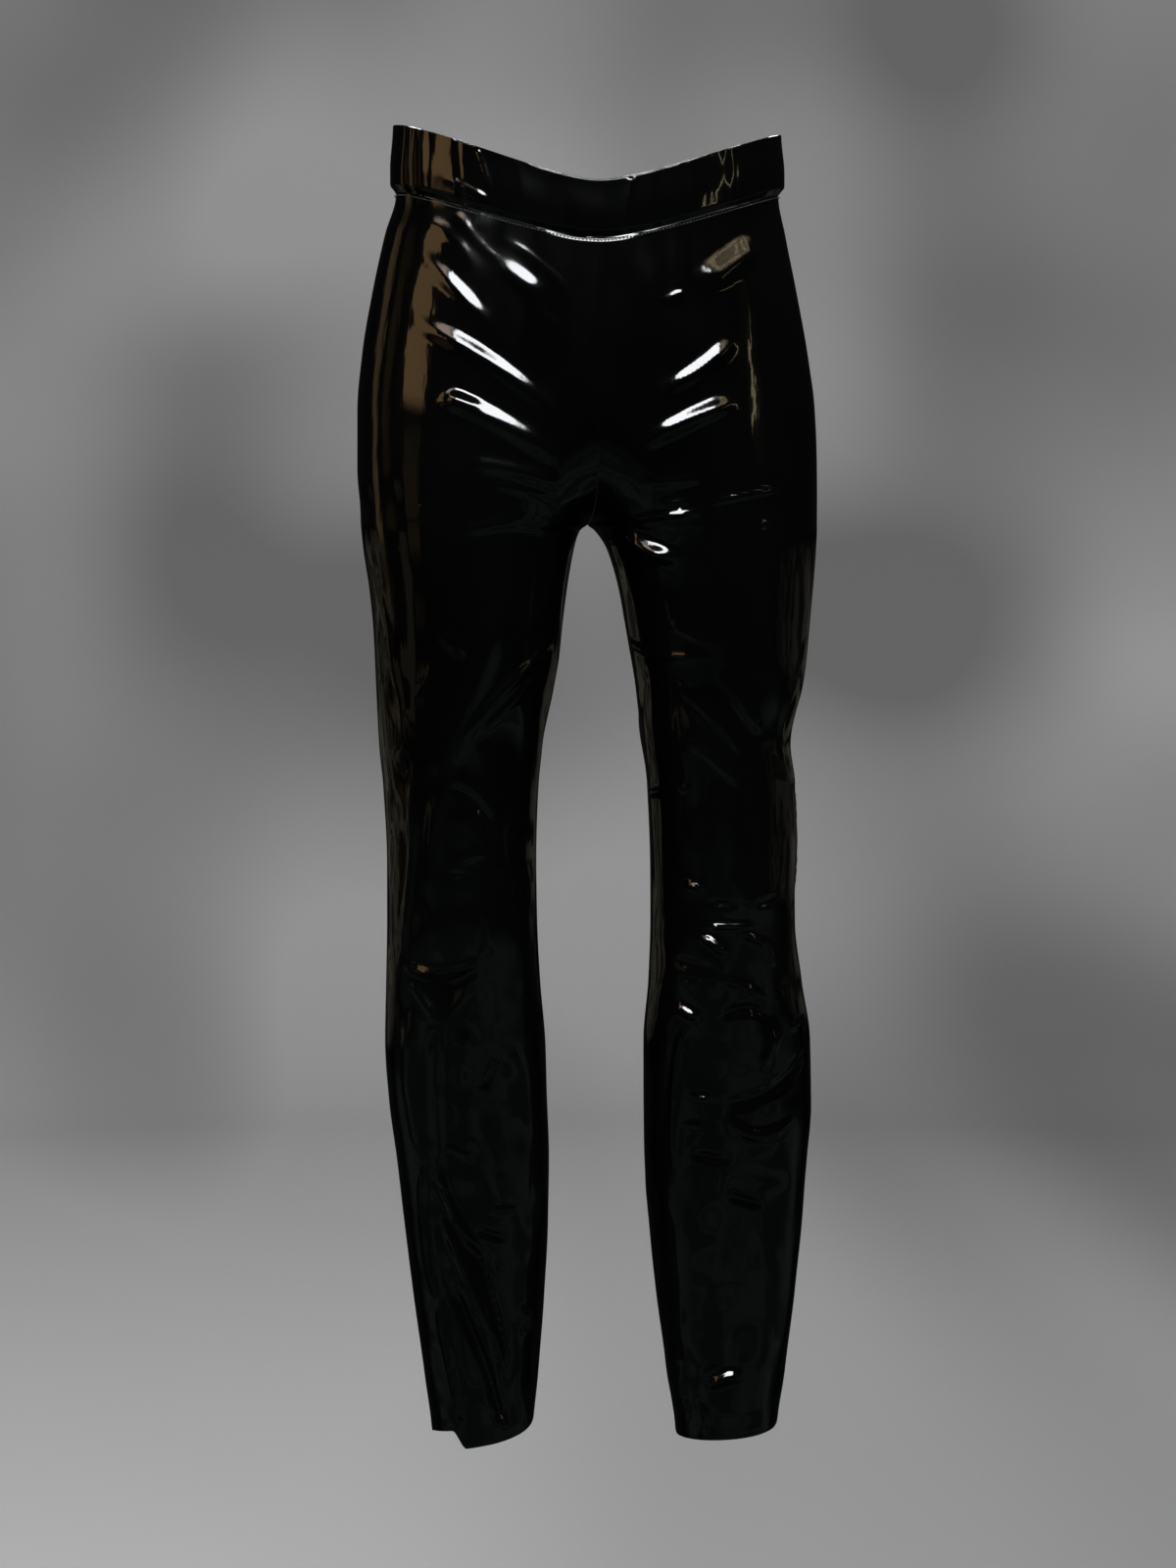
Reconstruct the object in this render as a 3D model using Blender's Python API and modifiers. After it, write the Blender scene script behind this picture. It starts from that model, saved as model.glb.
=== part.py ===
"""High-waisted slim trousers in patent leather, filled out in their worn form and empty.

Metres, +Z up. The front faces -Y, and the wearer's left leg is at +X. The origin is the middle
of the waist, where the wearer holds the trousers up. Six panels of one thickness of leather are
lofted through level sections and thickened inwards: two fronts, two backs and a doubled
waistband in a front and a back piece. Panels stop a hair short of each other at every seam.
"""

import math

import bpy
from mathutils import Vector

LEATHER = 0.0012        # one thickness of patent leather
BAND = 0.0024           # the waistband is doubled
SEAM = 0.0003           # gap between two panels that are sewn together
ACROSS = 12             # wide faces across a leg panel
BAND_ACROSS = 20        # wide faces across half of the waistband
MARGIN = 0.012          # share of a panel's width taken by the narrow face along each seam

WAIST_SIDE = -0.0094    # height of the waist seam at the side
HEM = -0.9600           # height of the hem, before it slopes
CROTCH = -0.2585        # height where the four leg panels meet
DIP_FADES = 0.130       # the waist seam's curve has died out this far below it

# A row for each level section of the body and legs. right_* is the wearer's right (-X).
# out and in are how far the side seam and the inseam are from the middle, seam is how far back
# the two seams sit, front and back are the depths in front of and behind them, and square is the
# exponent of the section's curve, 2 being an ellipse.
SECTION_NAMES = ("z", "right_out", "right_in", "left_in", "left_out", "seam", "front", "back", "square")
SECTIONS = (
    (-0.0094, 0.1455, 0.0000, 0.0000, 0.1455, 0.004, 0.0860, 0.0845, 2.20),
    (-0.0395, 0.1539, 0.0000, 0.0000, 0.1509, 0.004, 0.0895, 0.0925, 2.20),
    (-0.0840, 0.1638, 0.0000, 0.0000, 0.1599, 0.003, 0.0930, 0.1055, 2.15),
    (-0.1285, 0.1715, 0.0000, 0.0000, 0.1681, 0.002, 0.0950, 0.1160, 2.10),
    (-0.1730, 0.1755, 0.0000, 0.0000, 0.1736, 0.002, 0.0950, 0.1200, 2.10),
    (-0.2180, 0.1756, 0.0000, 0.0000, 0.1754, 0.003, 0.0935, 0.1130, 2.10),
    (-0.2475, 0.1734, 0.0000, 0.0000, 0.1757, 0.004, 0.0920, 0.1040, 2.10),
    (-0.2585, 0.1731, 0.0000, 0.0000, 0.1757, 0.004, 0.0915, 0.1005, 2.10),
    (-0.2635, 0.1727, 0.0062, 0.0060, 0.1757, 0.004, 0.0910, 0.0990, 2.10),
    (-0.2775, 0.1713, 0.0109, 0.0154, 0.1750, 0.004, 0.0900, 0.0955, 2.10),
    (-0.3075, 0.1669, 0.0162, 0.0245, 0.1729, 0.004, 0.0870, 0.0890, 2.10),
    (-0.3375, 0.1640, 0.0201, 0.0297, 0.1699, 0.003, 0.0835, 0.0830, 2.10),
    (-0.3825, 0.1620, 0.0262, 0.0371, 0.1646, 0.002, 0.0780, 0.0755, 2.10),
    (-0.4275, 0.1599, 0.0354, 0.0424, 0.1563, 0.001, 0.0730, 0.0690, 2.10),
    (-0.4575, 0.1570, 0.0384, 0.0462, 0.1595, 0.001, 0.0700, 0.0650, 2.10),
    (-0.5180, 0.1542, 0.0400, 0.0485, 0.1597, 0.001, 0.0660, 0.0590, 2.10),
    (-0.5635, 0.1543, 0.0392, 0.0487, 0.1600, 0.002, 0.0640, 0.0570, 2.10),
    (-0.6095, 0.1551, 0.0367, 0.0475, 0.1659, 0.005, 0.0615, 0.0600, 2.10),
    (-0.6555, 0.1559, 0.0327, 0.0441, 0.1734, 0.008, 0.0580, 0.0645, 2.10),
    (-0.7020, 0.1529, 0.0310, 0.0445, 0.1748, 0.011, 0.0550, 0.0660, 2.10),
    (-0.7480, 0.1469, 0.0293, 0.0455, 0.1714, 0.013, 0.0530, 0.0635, 2.10),
    (-0.7945, 0.1416, 0.0299, 0.0488, 0.1689, 0.015, 0.0510, 0.0595, 2.10),
    (-0.8570, 0.1340, 0.0328, 0.0553, 0.1634, 0.018, 0.0490, 0.0535, 2.10),
    (-0.9190, 0.1256, 0.0373, 0.0641, 0.1562, 0.020, 0.0475, 0.0490, 2.10),
    (-0.9735, 0.1196, 0.0419, 0.0712, 0.1496, 0.021, 0.0470, 0.0480, 2.10),
)

# Above the crotch, how the body's one round section turns into two. full is how far out the
# section is deepest, as a share of its half width. front and back are how far the centre seam has
# turned under towards the crotch point, from 0 to 1.
TRUNK_NAMES = ("z", "full", "front", "back")
TRUNK = (
    (-0.0200, 0.00, 0.00, 0.00),
    (-0.0800, 0.12, 0.00, 0.04),
    (-0.1300, 0.24, 0.02, 0.12),
    (-0.1800, 0.35, 0.10, 0.24),
    (-0.2150, 0.42, 0.24, 0.38),
    (-0.2375, 0.46, 0.44, 0.55),
    (-0.2490, 0.48, 0.64, 0.71),
    (-0.2552, 0.49, 0.81, 0.85),
    (-0.2585, 0.50, 1.00, 1.00),
)

# Levels of the panel's rows, measured at the side seam.
LEVELS = (
    -0.0094, -0.0310, -0.0550, -0.0800, -0.1050, -0.1300, -0.1550, -0.1800, -0.2040, -0.2260,
    -0.2410, -0.2505, -0.2560, -0.2585, -0.2625, -0.2710, -0.2880, -0.3150, -0.3450, -0.3800,
    -0.4150, -0.4500, -0.4850, -0.5200, -0.5550, -0.5800, -0.6000, -0.6200, -0.6450, -0.6800,
    -0.7200, -0.7600, -0.8000, -0.8400, -0.8800, -0.9200, -0.9600,
)

# How far the waist seam drops below its height at the sides, at the middle of the front and back,
# the heights of the waistband's top edge, and how round both are at the middle.
WAIST_DROP = {"front": 0.0381, "back": 0.0276}
BAND_TOP = {"front": -0.0050, "back": 0.0085, "right": 0.0414, "left": 0.0363}
ROUND = 0.20

# The hem's height at the inseam, and at the side seam before a fold in the front lifts its outer
# part. The back rises evenly to meet the lifted front.
HEM_NAMES = ("side", "inner", "outer", "lift", "lift_at")
HEMS = (
    ("right", -0.9535, -0.9780, 0.0150, 0.62),
    ("left", -0.9690, -0.9590, 0.0000, 0.50),
)
HEM_RAMP = 0.090        # the hem's slope has died out this far above it

# A row for each large fold: the panel, two ends as distance out from the middle and height, its
# width and its depth inwards.
FOLD_NAMES = ("panel", "x1", "z1", "x2", "z2", "width", "depth")
FOLDS = (
    ("front_right", 0.102, -0.028, 0.016, -0.111, 0.012, 0.0030),
    ("front_right", 0.134, -0.048, 0.081, -0.107, 0.012, 0.0030),
    ("front_right", 0.141, -0.098, 0.049, -0.165, 0.014, 0.0035),
    ("front_right", 0.113, -0.161, 0.038, -0.197, 0.014, 0.0030),
    ("front_right", 0.099, -0.215, 0.026, -0.233, 0.012, 0.0025),
    ("front_right", 0.103, -0.262, 0.047, -0.251, 0.010, 0.0025),
    ("front_right", 0.025, -0.348, 0.095, -0.431, 0.014, 0.0035),
    ("front_right", 0.142, -0.599, 0.089, -0.593, 0.014, 0.0045),
    ("front_right", 0.114, -0.790, 0.098, -0.968, 0.010, 0.0080),
    ("front_left", 0.128, -0.050, 0.050, -0.093, 0.014, 0.0030),
    ("front_left", 0.103, -0.117, 0.039, -0.161, 0.014, 0.0030),
    ("front_left", 0.096, -0.169, 0.035, -0.194, 0.014, 0.0030),
    ("front_left", 0.122, -0.233, 0.027, -0.249, 0.012, 0.0030),
    ("front_left", 0.030, -0.348, 0.099, -0.356, 0.010, 0.0020),
    ("front_left", 0.080, -0.569, 0.144, -0.592, 0.012, 0.0035),
    ("front_left", 0.171, -0.653, 0.108, -0.697, 0.012, 0.0030),
    ("back_right", 0.110, -0.252, 0.040, -0.237, 0.012, 0.0025),
    ("back_left", 0.112, -0.254, 0.040, -0.240, 0.012, 0.0025),
    ("back_right", 0.140, -0.562, 0.060, -0.572, 0.014, 0.0040),
    ("back_left", 0.145, -0.572, 0.070, -0.562, 0.014, 0.0040),
    ("back_right", 0.125, -0.602, 0.065, -0.592, 0.012, 0.0030),
    ("back_left", 0.140, -0.607, 0.070, -0.597, 0.012, 0.0030),
)


def column(rows, names, name, z):
    """The named column at height z, by a smooth curve through the rows, which never overshoots."""
    i = names.index(name)
    zs = [row[0] for row in rows]
    vs = [row[i] for row in rows]
    if z >= zs[0]:
        return vs[0]
    if z <= zs[-1]:
        return vs[-1]
    k = next(j for j in range(len(zs) - 1) if zs[j] >= z >= zs[j + 1])
    slopes = []
    for j in (k, k + 1):
        if j in (0, len(zs) - 1):
            slopes.append(0.0)
            continue
        before = (vs[j] - vs[j - 1]) / (zs[j] - zs[j - 1])
        after = (vs[j + 1] - vs[j]) / (zs[j + 1] - zs[j])
        slopes.append(0.0 if before * after <= 0 else 2 * before * after / (before + after))
    h = zs[k + 1] - zs[k]
    t = (z - zs[k]) / h
    return (
        (2 * t**3 - 3 * t**2 + 1) * vs[k]
        + (t**3 - 2 * t**2 + t) * h * slopes[0]
        + (3 * t**2 - 2 * t**3) * vs[k + 1]
        + (t**3 - t**2) * h * slopes[1]
    )


def smooth(t):
    t = min(1.0, max(0.0, t))
    return t * t * (3 - 2 * t)


def rise(share):
    """How far an edge has risen from the middle (0) to the side (1): straight, with a round bottom."""
    share = min(1.0, abs(share))
    return (math.hypot(share, ROUND) - ROUND) / (math.hypot(1, ROUND) - ROUND)


def hem_shift(face, side, u, level):
    hem = next(dict(zip(HEM_NAMES, row)) for row in HEMS if row[0] == side)
    shift = hem["inner"] + (hem["outer"] - hem["inner"]) * u - HEM
    if face == "front":
        shift += hem["lift"] * smooth((u - hem["lift_at"]) / 0.10)
    else:
        shift += hem["lift"] * u
    return shift * smooth(1 - (level - HEM) / HEM_RAMP)


def section_point(face, side, u, z):
    """How far out and how far forward the section at height z is, at the share u round it."""
    get = lambda name: column(SECTIONS, SECTION_NAMES, name, z)
    out, inner, depth, power = get(side + "_out"), get(side + "_in"), get(face), 2 / get("square")
    if z > CROTCH:
        full = out * column(TRUNK, TRUNK_NAMES, "full", z)
        under = column(TRUNK, TRUNK_NAMES, face, z)
    else:
        full, under = (inner + out) / 2, 1.0
    start = (1 - under) * math.radians(89.5)      # the angle at which the inner arc begins
    inner_arc = math.hypot(full - inner, depth * (1 - math.sin(start))) * (1 + 0.11 * under)
    outer_arc = math.hypot(out - full, depth) * 1.11
    share = inner_arc / (inner_arc + outer_arc)
    if u < share:
        turn = start + (math.pi / 2 - start) * u / share
        x = full - (full - inner) * (math.cos(turn) / math.cos(start)) ** power
    else:
        turn = math.pi / 2 * (1 + (u - share) / (1 - share))
        x = full + (out - full) * abs(math.cos(turn)) ** power
    return x, depth * abs(math.sin(turn)) ** power, get("seam"), out


def leg_point(face, side, u, level):
    """A point of the body: u runs from 0 at the centre seam or inseam to 1 at the side seam."""
    drop = WAIST_DROP[face] * (1 - smooth((WAIST_SIDE - level) / DIP_FADES))
    z = level
    for _ in range(3):  # the height depends on the distance out, and the distance out on the height
        x, depth, seam, out = section_point(face, side, u, z)
        z = level - drop * (1 - rise(x / out))
    z += hem_shift(face, side, u, level)
    x, depth, seam, out = section_point(face, side, u, z)
    return Vector((-x if side == "right" else x, seam + (-depth if face == "front" else depth), z))


def band_point(face, side, u, v):
    """A point of the waistband: u from 0 at the middle to 1 at the side, v from 0 at its seam to 1."""
    top_of_body = leg_point(face, side, u, WAIST_SIDE)
    out = column(SECTIONS, SECTION_NAMES, side + "_out", WAIST_SIDE)
    low = top_of_body.z + SEAM
    high = BAND_TOP[face] + (BAND_TOP[side] - BAND_TOP[face]) * rise(top_of_body.x / out)
    stands = 0.0006 + 0.0040 * smooth(v / 0.25) - 0.0022 * smooth((v - 0.35) / 0.65)
    seam = column(SECTIONS, SECTION_NAMES, "seam", WAIST_SIDE)
    outward = Vector((top_of_body.x / out**2, (top_of_body.y - seam) / 0.086**2, 0)).normalized()
    return Vector((top_of_body.x, top_of_body.y, low + (high - low) * v)) + outward * stands


def fold_depth(panel, p):
    total = 0.0
    for row in FOLDS:
        fold = dict(zip(FOLD_NAMES, row))
        if fold["panel"] != panel:
            continue
        a = Vector((fold["x1"], fold["z1"]))
        b = Vector((fold["x2"], fold["z2"]))
        q = Vector((abs(p.x), p.z))
        along = (q - a).dot(b - a) / (b - a).length_squared
        away = (q - a - (b - a) * min(1.0, max(0.0, along))).length
        if away < 2 * fold["width"]:
            total += fold["depth"] * (1 - smooth(away / (2 * fold["width"])))
    return total


def sheet(name, grid, thickness, colour, folds=True):
    """An open loft through the rows of the grid, thickened inwards. The rows run top to bottom."""
    rows, columns = len(grid), len(grid[0])
    mesh = bpy.data.meshes.new(name)
    points = [p for row in grid for p in row]
    faces = [
        (i * columns + j, (i + 1) * columns + j, (i + 1) * columns + j + 1, i * columns + j + 1)
        for i in range(rows - 1)
        for j in range(columns - 1)
    ]
    mesh.from_pydata([tuple(p) for p in points], [], faces)
    mesh.update()
    middle = mesh.polygons[rows // 4 * (columns - 1) + (columns - 1) // 2]
    outward = Vector((0, middle.center.y, 0))
    if middle.normal.dot(outward) < 0:
        mesh.flip_normals()
        mesh.update()
    if folds:
        normals = [v.normal.copy() for v in mesh.vertices]
        for v, n in zip(mesh.vertices, normals):
            u = shares(ACROSS)[v.index % columns]
            v.co -= n * fold_depth(name, v.co) * smooth(min(u, 1 - u) / 0.16)
        mesh.update()
    mesh.shade_smooth()
    obj = bpy.data.objects.new(name, mesh)
    trousers.objects.link(obj)
    shell = obj.modifiers.new("leather", "SOLIDIFY")
    shell.thickness = thickness
    shell.offset = -1
    shell.use_even_offset = False
    material = bpy.data.materials.new(name)
    material.use_nodes = True
    shader = material.node_tree.nodes["Principled BSDF"]
    shader.inputs["Base Color"].default_value = (*colour, 1)
    shader.inputs["Roughness"].default_value = 0.12
    shader.inputs["Metallic"].default_value = 0.0
    obj.data.materials.append(material)
    return obj


def shares(count):
    """Where the columns stand, from 0 to 1, with a narrow one along each end."""
    return [0.0, MARGIN] + [j / count for j in range(1, count)] + [1 - MARGIN, 1.0]


def panel(face, side):
    """One leg panel, its edges drawn back by half a seam's gap from every neighbour."""
    grid = []
    for level in LEVELS:
        row = [leg_point(face, side, u, level) for u in shares(ACROSS)]
        for end, near in ((0, 1), (-1, -2)):
            row[end] = row[end] + (row[near] - row[end]).normalized() * SEAM / 2
        if level > CROTCH + 0.0001:  # the centre seam is flat, so the gap there is sideways
            row[0].x = math.copysign(SEAM / 2, row[-1].x)
        grid.append(row)
    return sheet(face + "_" + side, grid, LEATHER, BLACK)


def band(face):
    """Half of the waistband, from the right side seam round to the left."""
    half = BAND_ACROSS // 2
    heights = (0.0, 0.11, 0.22, 0.48, 0.74, 1.0)
    grid = []
    for v in reversed(heights):
        row = [band_point(face, "right", 1 - 2 * u, v) for u in shares(2 * half) if u < 0.5]
        row += [band_point(face, "left", 2 * u - 1, v) for u in shares(2 * half) if u >= 0.5]
        for end, near in ((0, 1), (-1, -2)):
            row[end] = row[end] + (row[near] - row[end]).normalized() * SEAM / 2
        grid.append(row)
    return sheet("waistband_" + face, grid, BAND, BLACK, folds=False)


BLACK = (0.010, 0.010, 0.011)

for old in list(bpy.data.objects):
    bpy.data.objects.remove(old)
trousers = bpy.data.collections.new("patent_leather_trousers")
bpy.context.scene.collection.children.link(trousers)

for face in ("front", "back"):
    band(face)
    for side in ("right", "left"):
        panel(face, side)
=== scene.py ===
import math

import bmesh
import bpy
import numpy as np
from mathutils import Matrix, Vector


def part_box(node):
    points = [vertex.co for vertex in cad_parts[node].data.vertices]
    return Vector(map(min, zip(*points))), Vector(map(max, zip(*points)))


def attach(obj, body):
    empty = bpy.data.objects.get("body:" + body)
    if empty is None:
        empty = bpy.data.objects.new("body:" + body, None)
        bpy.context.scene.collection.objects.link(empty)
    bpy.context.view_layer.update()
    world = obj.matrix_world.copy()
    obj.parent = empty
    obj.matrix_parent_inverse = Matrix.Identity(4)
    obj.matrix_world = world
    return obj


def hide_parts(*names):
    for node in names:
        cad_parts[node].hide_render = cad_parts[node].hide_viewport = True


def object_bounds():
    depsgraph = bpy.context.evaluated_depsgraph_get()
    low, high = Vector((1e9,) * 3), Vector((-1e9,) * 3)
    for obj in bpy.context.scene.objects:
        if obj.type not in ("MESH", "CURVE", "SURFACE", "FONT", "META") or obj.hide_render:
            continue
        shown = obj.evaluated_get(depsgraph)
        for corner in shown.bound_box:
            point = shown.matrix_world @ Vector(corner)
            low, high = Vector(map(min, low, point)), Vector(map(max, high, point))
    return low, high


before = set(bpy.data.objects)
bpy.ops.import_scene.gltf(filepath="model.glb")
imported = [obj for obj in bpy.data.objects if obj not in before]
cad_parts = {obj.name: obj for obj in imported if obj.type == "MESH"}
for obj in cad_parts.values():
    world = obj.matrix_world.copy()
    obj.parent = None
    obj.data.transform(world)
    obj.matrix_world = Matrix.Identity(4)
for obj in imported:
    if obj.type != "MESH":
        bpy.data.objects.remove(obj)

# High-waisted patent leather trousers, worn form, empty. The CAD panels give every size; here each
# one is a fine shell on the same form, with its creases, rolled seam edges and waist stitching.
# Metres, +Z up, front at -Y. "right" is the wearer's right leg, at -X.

CAD_LO, CAD_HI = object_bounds()

# --- the form, from the same sizes as the CAD panels ------------------------------------------

LEATHER = 0.0012
BAND = 0.0024
SEAM = 0.0003
CLOSED = 0.00004        # what is left of a seam's gap between two sewn panels
WAIST_SIDE = -0.0094
HEM = -0.9600
CROTCH = -0.2585
DIP_FADES = 0.130
ROUND = 0.20
HEM_RAMP = 0.090

SECTION_NAMES = ("z", "right_out", "right_in", "left_in", "left_out", "seam", "front", "back", "square")
SECTIONS = (
    (-0.0094, 0.1455, 0.0000, 0.0000, 0.1455, 0.004, 0.0860, 0.0845, 2.20),
    (-0.0395, 0.1539, 0.0000, 0.0000, 0.1509, 0.004, 0.0895, 0.0925, 2.20),
    (-0.0840, 0.1638, 0.0000, 0.0000, 0.1599, 0.003, 0.0930, 0.1055, 2.15),
    (-0.1285, 0.1715, 0.0000, 0.0000, 0.1681, 0.002, 0.0950, 0.1160, 2.10),
    (-0.1730, 0.1755, 0.0000, 0.0000, 0.1736, 0.002, 0.0950, 0.1200, 2.10),
    (-0.2180, 0.1756, 0.0000, 0.0000, 0.1754, 0.003, 0.0935, 0.1130, 2.10),
    (-0.2475, 0.1734, 0.0000, 0.0000, 0.1757, 0.004, 0.0920, 0.1040, 2.10),
    (-0.2585, 0.1731, 0.0000, 0.0000, 0.1757, 0.004, 0.0915, 0.1005, 2.10),
    (-0.2635, 0.1727, 0.0062, 0.0060, 0.1757, 0.004, 0.0910, 0.0990, 2.10),
    (-0.2775, 0.1713, 0.0109, 0.0154, 0.1750, 0.004, 0.0900, 0.0955, 2.10),
    (-0.3075, 0.1669, 0.0162, 0.0245, 0.1729, 0.004, 0.0870, 0.0890, 2.10),
    (-0.3375, 0.1640, 0.0201, 0.0297, 0.1699, 0.003, 0.0835, 0.0830, 2.10),
    (-0.3825, 0.1620, 0.0262, 0.0371, 0.1646, 0.002, 0.0780, 0.0755, 2.10),
    (-0.4275, 0.1599, 0.0354, 0.0424, 0.1563, 0.001, 0.0730, 0.0690, 2.10),
    (-0.4575, 0.1570, 0.0384, 0.0462, 0.1595, 0.001, 0.0700, 0.0650, 2.10),
    (-0.5180, 0.1542, 0.0400, 0.0485, 0.1597, 0.001, 0.0660, 0.0590, 2.10),
    (-0.5635, 0.1543, 0.0392, 0.0487, 0.1600, 0.002, 0.0640, 0.0570, 2.10),
    (-0.6095, 0.1551, 0.0367, 0.0475, 0.1659, 0.005, 0.0615, 0.0600, 2.10),
    (-0.6555, 0.1559, 0.0327, 0.0441, 0.1734, 0.008, 0.0580, 0.0645, 2.10),
    (-0.7020, 0.1529, 0.0310, 0.0445, 0.1748, 0.011, 0.0550, 0.0660, 2.10),
    (-0.7480, 0.1469, 0.0293, 0.0455, 0.1714, 0.013, 0.0530, 0.0635, 2.10),
    (-0.7945, 0.1416, 0.0299, 0.0488, 0.1689, 0.015, 0.0510, 0.0595, 2.10),
    (-0.8570, 0.1340, 0.0328, 0.0553, 0.1634, 0.018, 0.0490, 0.0535, 2.10),
    (-0.9190, 0.1256, 0.0373, 0.0641, 0.1562, 0.020, 0.0475, 0.0490, 2.10),
    (-0.9735, 0.1196, 0.0419, 0.0712, 0.1496, 0.021, 0.0470, 0.0480, 2.10),
)
TRUNK_NAMES = ("z", "full", "front", "back")
TRUNK = (
    (-0.0200, 0.00, 0.00, 0.00),
    (-0.0800, 0.12, 0.00, 0.04),
    (-0.1300, 0.24, 0.02, 0.12),
    (-0.1800, 0.35, 0.10, 0.24),
    (-0.2150, 0.42, 0.24, 0.38),
    (-0.2375, 0.46, 0.44, 0.55),
    (-0.2490, 0.48, 0.64, 0.71),
    (-0.2552, 0.49, 0.81, 0.85),
    (-0.2585, 0.50, 1.00, 1.00),
)
WAIST_DROP = {"front": 0.0381, "back": 0.0276}
BAND_TOP = {"front": -0.0050, "back": 0.0085, "right": 0.0414, "left": 0.0363}
HEMS = {"right": (-0.9535, -0.9780, 0.0150, 0.62), "left": (-0.9690, -0.9590, 0.0000, 0.50)}


def column(rows, names, name, z):
    """The named column at the heights z, by a smooth curve through the rows, which never overshoots."""
    zs = np.array([row[0] for row in rows])
    vs = np.array([row[names.index(name)] for row in rows])
    step = np.diff(vs) / np.diff(zs)
    slopes = np.zeros(len(zs))
    a, b = step[:-1], step[1:]
    both = a * b > 0
    slopes[1:-1][both] = (2 * a * b)[both] / (a + b)[both]
    z = np.clip(z, zs[-1], zs[0])
    k = np.clip(np.searchsorted(-zs, -z, side="right") - 1, 0, len(zs) - 2)
    h = zs[k + 1] - zs[k]
    t = (z - zs[k]) / h
    return (
        (2 * t**3 - 3 * t**2 + 1) * vs[k]
        + (t**3 - 2 * t**2 + t) * h * slopes[k]
        + (3 * t**2 - 2 * t**3) * vs[k + 1]
        + (t**3 - t**2) * h * slopes[k + 1]
    )


def smooth(t):
    t = np.clip(t, 0.0, 1.0)
    return t * t * (3 - 2 * t)


def rise(share):
    share = np.minimum(1.0, np.abs(share))
    return (np.hypot(share, ROUND) - ROUND) / (math.hypot(1, ROUND) - ROUND)


def section_point(face, side, u, z):
    """How far out and how far forward the section at the heights z is, at the shares u round it."""
    get = lambda name: column(SECTIONS, SECTION_NAMES, name, z)
    out, inner, depth, power = get(side + "_out"), get(side + "_in"), get(face), 2 / get("square")
    above = z > CROTCH
    full = np.where(above, out * column(TRUNK, TRUNK_NAMES, "full", z), (inner + out) / 2)
    under = np.where(above, column(TRUNK, TRUNK_NAMES, face, z), 1.0)
    start = (1 - under) * math.radians(89.5)
    inner_arc = np.hypot(full - inner, depth * (1 - np.sin(start))) * (1 + 0.11 * under)
    outer_arc = np.hypot(out - full, depth) * 1.11
    share = inner_arc / (inner_arc + outer_arc)
    first = start + (math.pi / 2 - start) * u / np.maximum(share, 1e-9)
    second = math.pi / 2 * (1 + (u - share) / (1 - share))
    near = u < share
    turn = np.where(near, first, second)
    x = np.where(
        near,
        full - (full - inner) * np.maximum(np.cos(first) / np.cos(start), 0) ** power,
        full + (out - full) * np.abs(np.cos(second)) ** power,
    )
    return x, depth * np.abs(np.sin(turn)) ** power, get("seam"), out


def leg_points(face, side, u, level):
    """Points of the body on a grid: u from 0 at the centre seam or inseam to 1 at the side seam."""
    u, level = np.broadcast_arrays(u[None, :], level[:, None])
    drop = WAIST_DROP[face] * (1 - smooth((WAIST_SIDE - level) / DIP_FADES))
    z = level.copy()
    for _ in range(4):
        x, depth, seam, out = section_point(face, side, u, z)
        z = level - drop * (1 - rise(x / out))
    inner, outer, lift, lift_at = HEMS[side]
    shift = inner + (outer - inner) * u - HEM
    if face == "front":
        shift = shift + lift * smooth((u - lift_at) / 0.10)
    else:
        shift = shift + lift * u
    z = z + shift * smooth(1 - (level - HEM) / HEM_RAMP)
    x, depth, seam, out = section_point(face, side, u, z)
    sign = -1 if side == "right" else 1
    return np.stack([sign * x, seam + (-depth if face == "front" else depth), z], axis=-1)


def columns_of(count):
    """Shares across a panel: even in the middle, close together along each seam."""
    edge = np.array([0.0, 0.0022, 0.0050, 0.0090, 0.0145, 0.0220])
    return np.concatenate([edge, np.linspace(0.032, 0.968, count - 12), 1 - edge[::-1]])


def from_side(points):
    """How far each point is from the side seam, measured along its row."""
    steps = np.linalg.norm(np.diff(points, axis=1), axis=2)
    along = np.concatenate([np.zeros((len(points), 1)), np.cumsum(steps, axis=1)], axis=1)
    return along[:, -1:] - along, along


# --- end of the form --------------------------------------------------------------------------


def normals_of(points, outward):
    """Unit normals of a grid of points, facing the way that outward does in the middle."""
    across = np.gradient(points, axis=1)
    down = np.gradient(points, axis=0)
    n = np.cross(across, down)
    n /= np.maximum(np.linalg.norm(n, axis=2, keepdims=True), 1e-12)
    i, j = n.shape[0] // 2, n.shape[1] // 2
    return n if n[i, j] @ outward > 0 else -n


def patches(s, z, across, down, seed):
    """Smooth seeded unevenness from -1 to 1, its patches across wide and down tall, in metres."""
    rng = np.random.default_rng(seed)
    table = rng.uniform(-1, 1, (64, 64))
    a, b = s / across + 7.3, -z / down + 3.1
    i, j = np.floor(a).astype(int), np.floor(b).astype(int)
    fa, fb = a - i, b - j
    fa, fb = fa**3 * (fa * (6 * fa - 15) + 10), fb**3 * (fb * (6 * fb - 15) + 10)
    at = lambda p, q: table[p % 64, q % 64]
    return (at(i, j) * (1 - fa) + at(i + 1, j) * fa) * (1 - fb) + (at(i, j + 1) * (1 - fa) + at(i + 1, j + 1) * fa) * fb


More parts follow.
